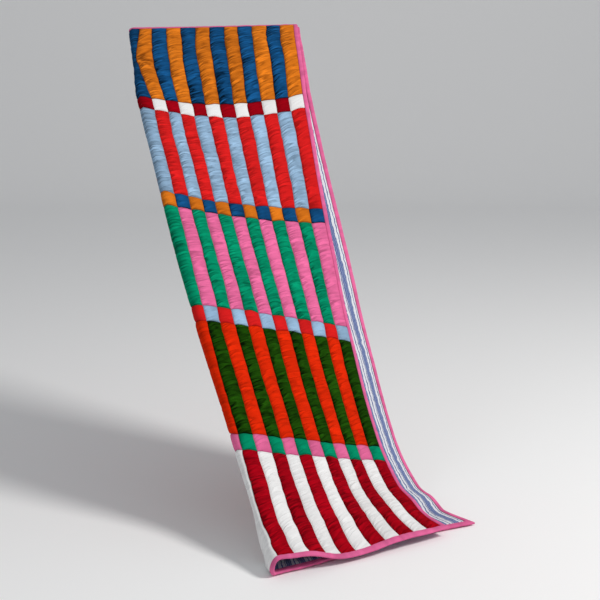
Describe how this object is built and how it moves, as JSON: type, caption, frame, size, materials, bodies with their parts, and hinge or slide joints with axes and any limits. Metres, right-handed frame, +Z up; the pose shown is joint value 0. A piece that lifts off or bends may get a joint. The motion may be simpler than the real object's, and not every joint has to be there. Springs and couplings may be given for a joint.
{
  "type": "patchwork quilted throw, folded once lengthwise and hung by its top edge",
  "caption": "Patchwork quilted throw in velvet strips and squares with a striped backing and a pink binding, folded once lengthwise, hung by its top edge, its foot on the ground",
  "frame": {"origin": "under the middle of the throw's box, on the ground that its foot lies on", "axes": "+Z up, -Y toward the viewer, +X to the right as seen in the picture; the throw hangs down toward -Y and +X"},
  "size_m": [1.1132, 1.4896, 1.488],
  "materials": {
    "velvet": "cotton velvet patchwork, quilted",
    "binding": "cotton velvet strip"
  },
  "bodies": {
    "root": {"quilt": "velvet", "binding": "binding"}
  },
  "joints": []
}
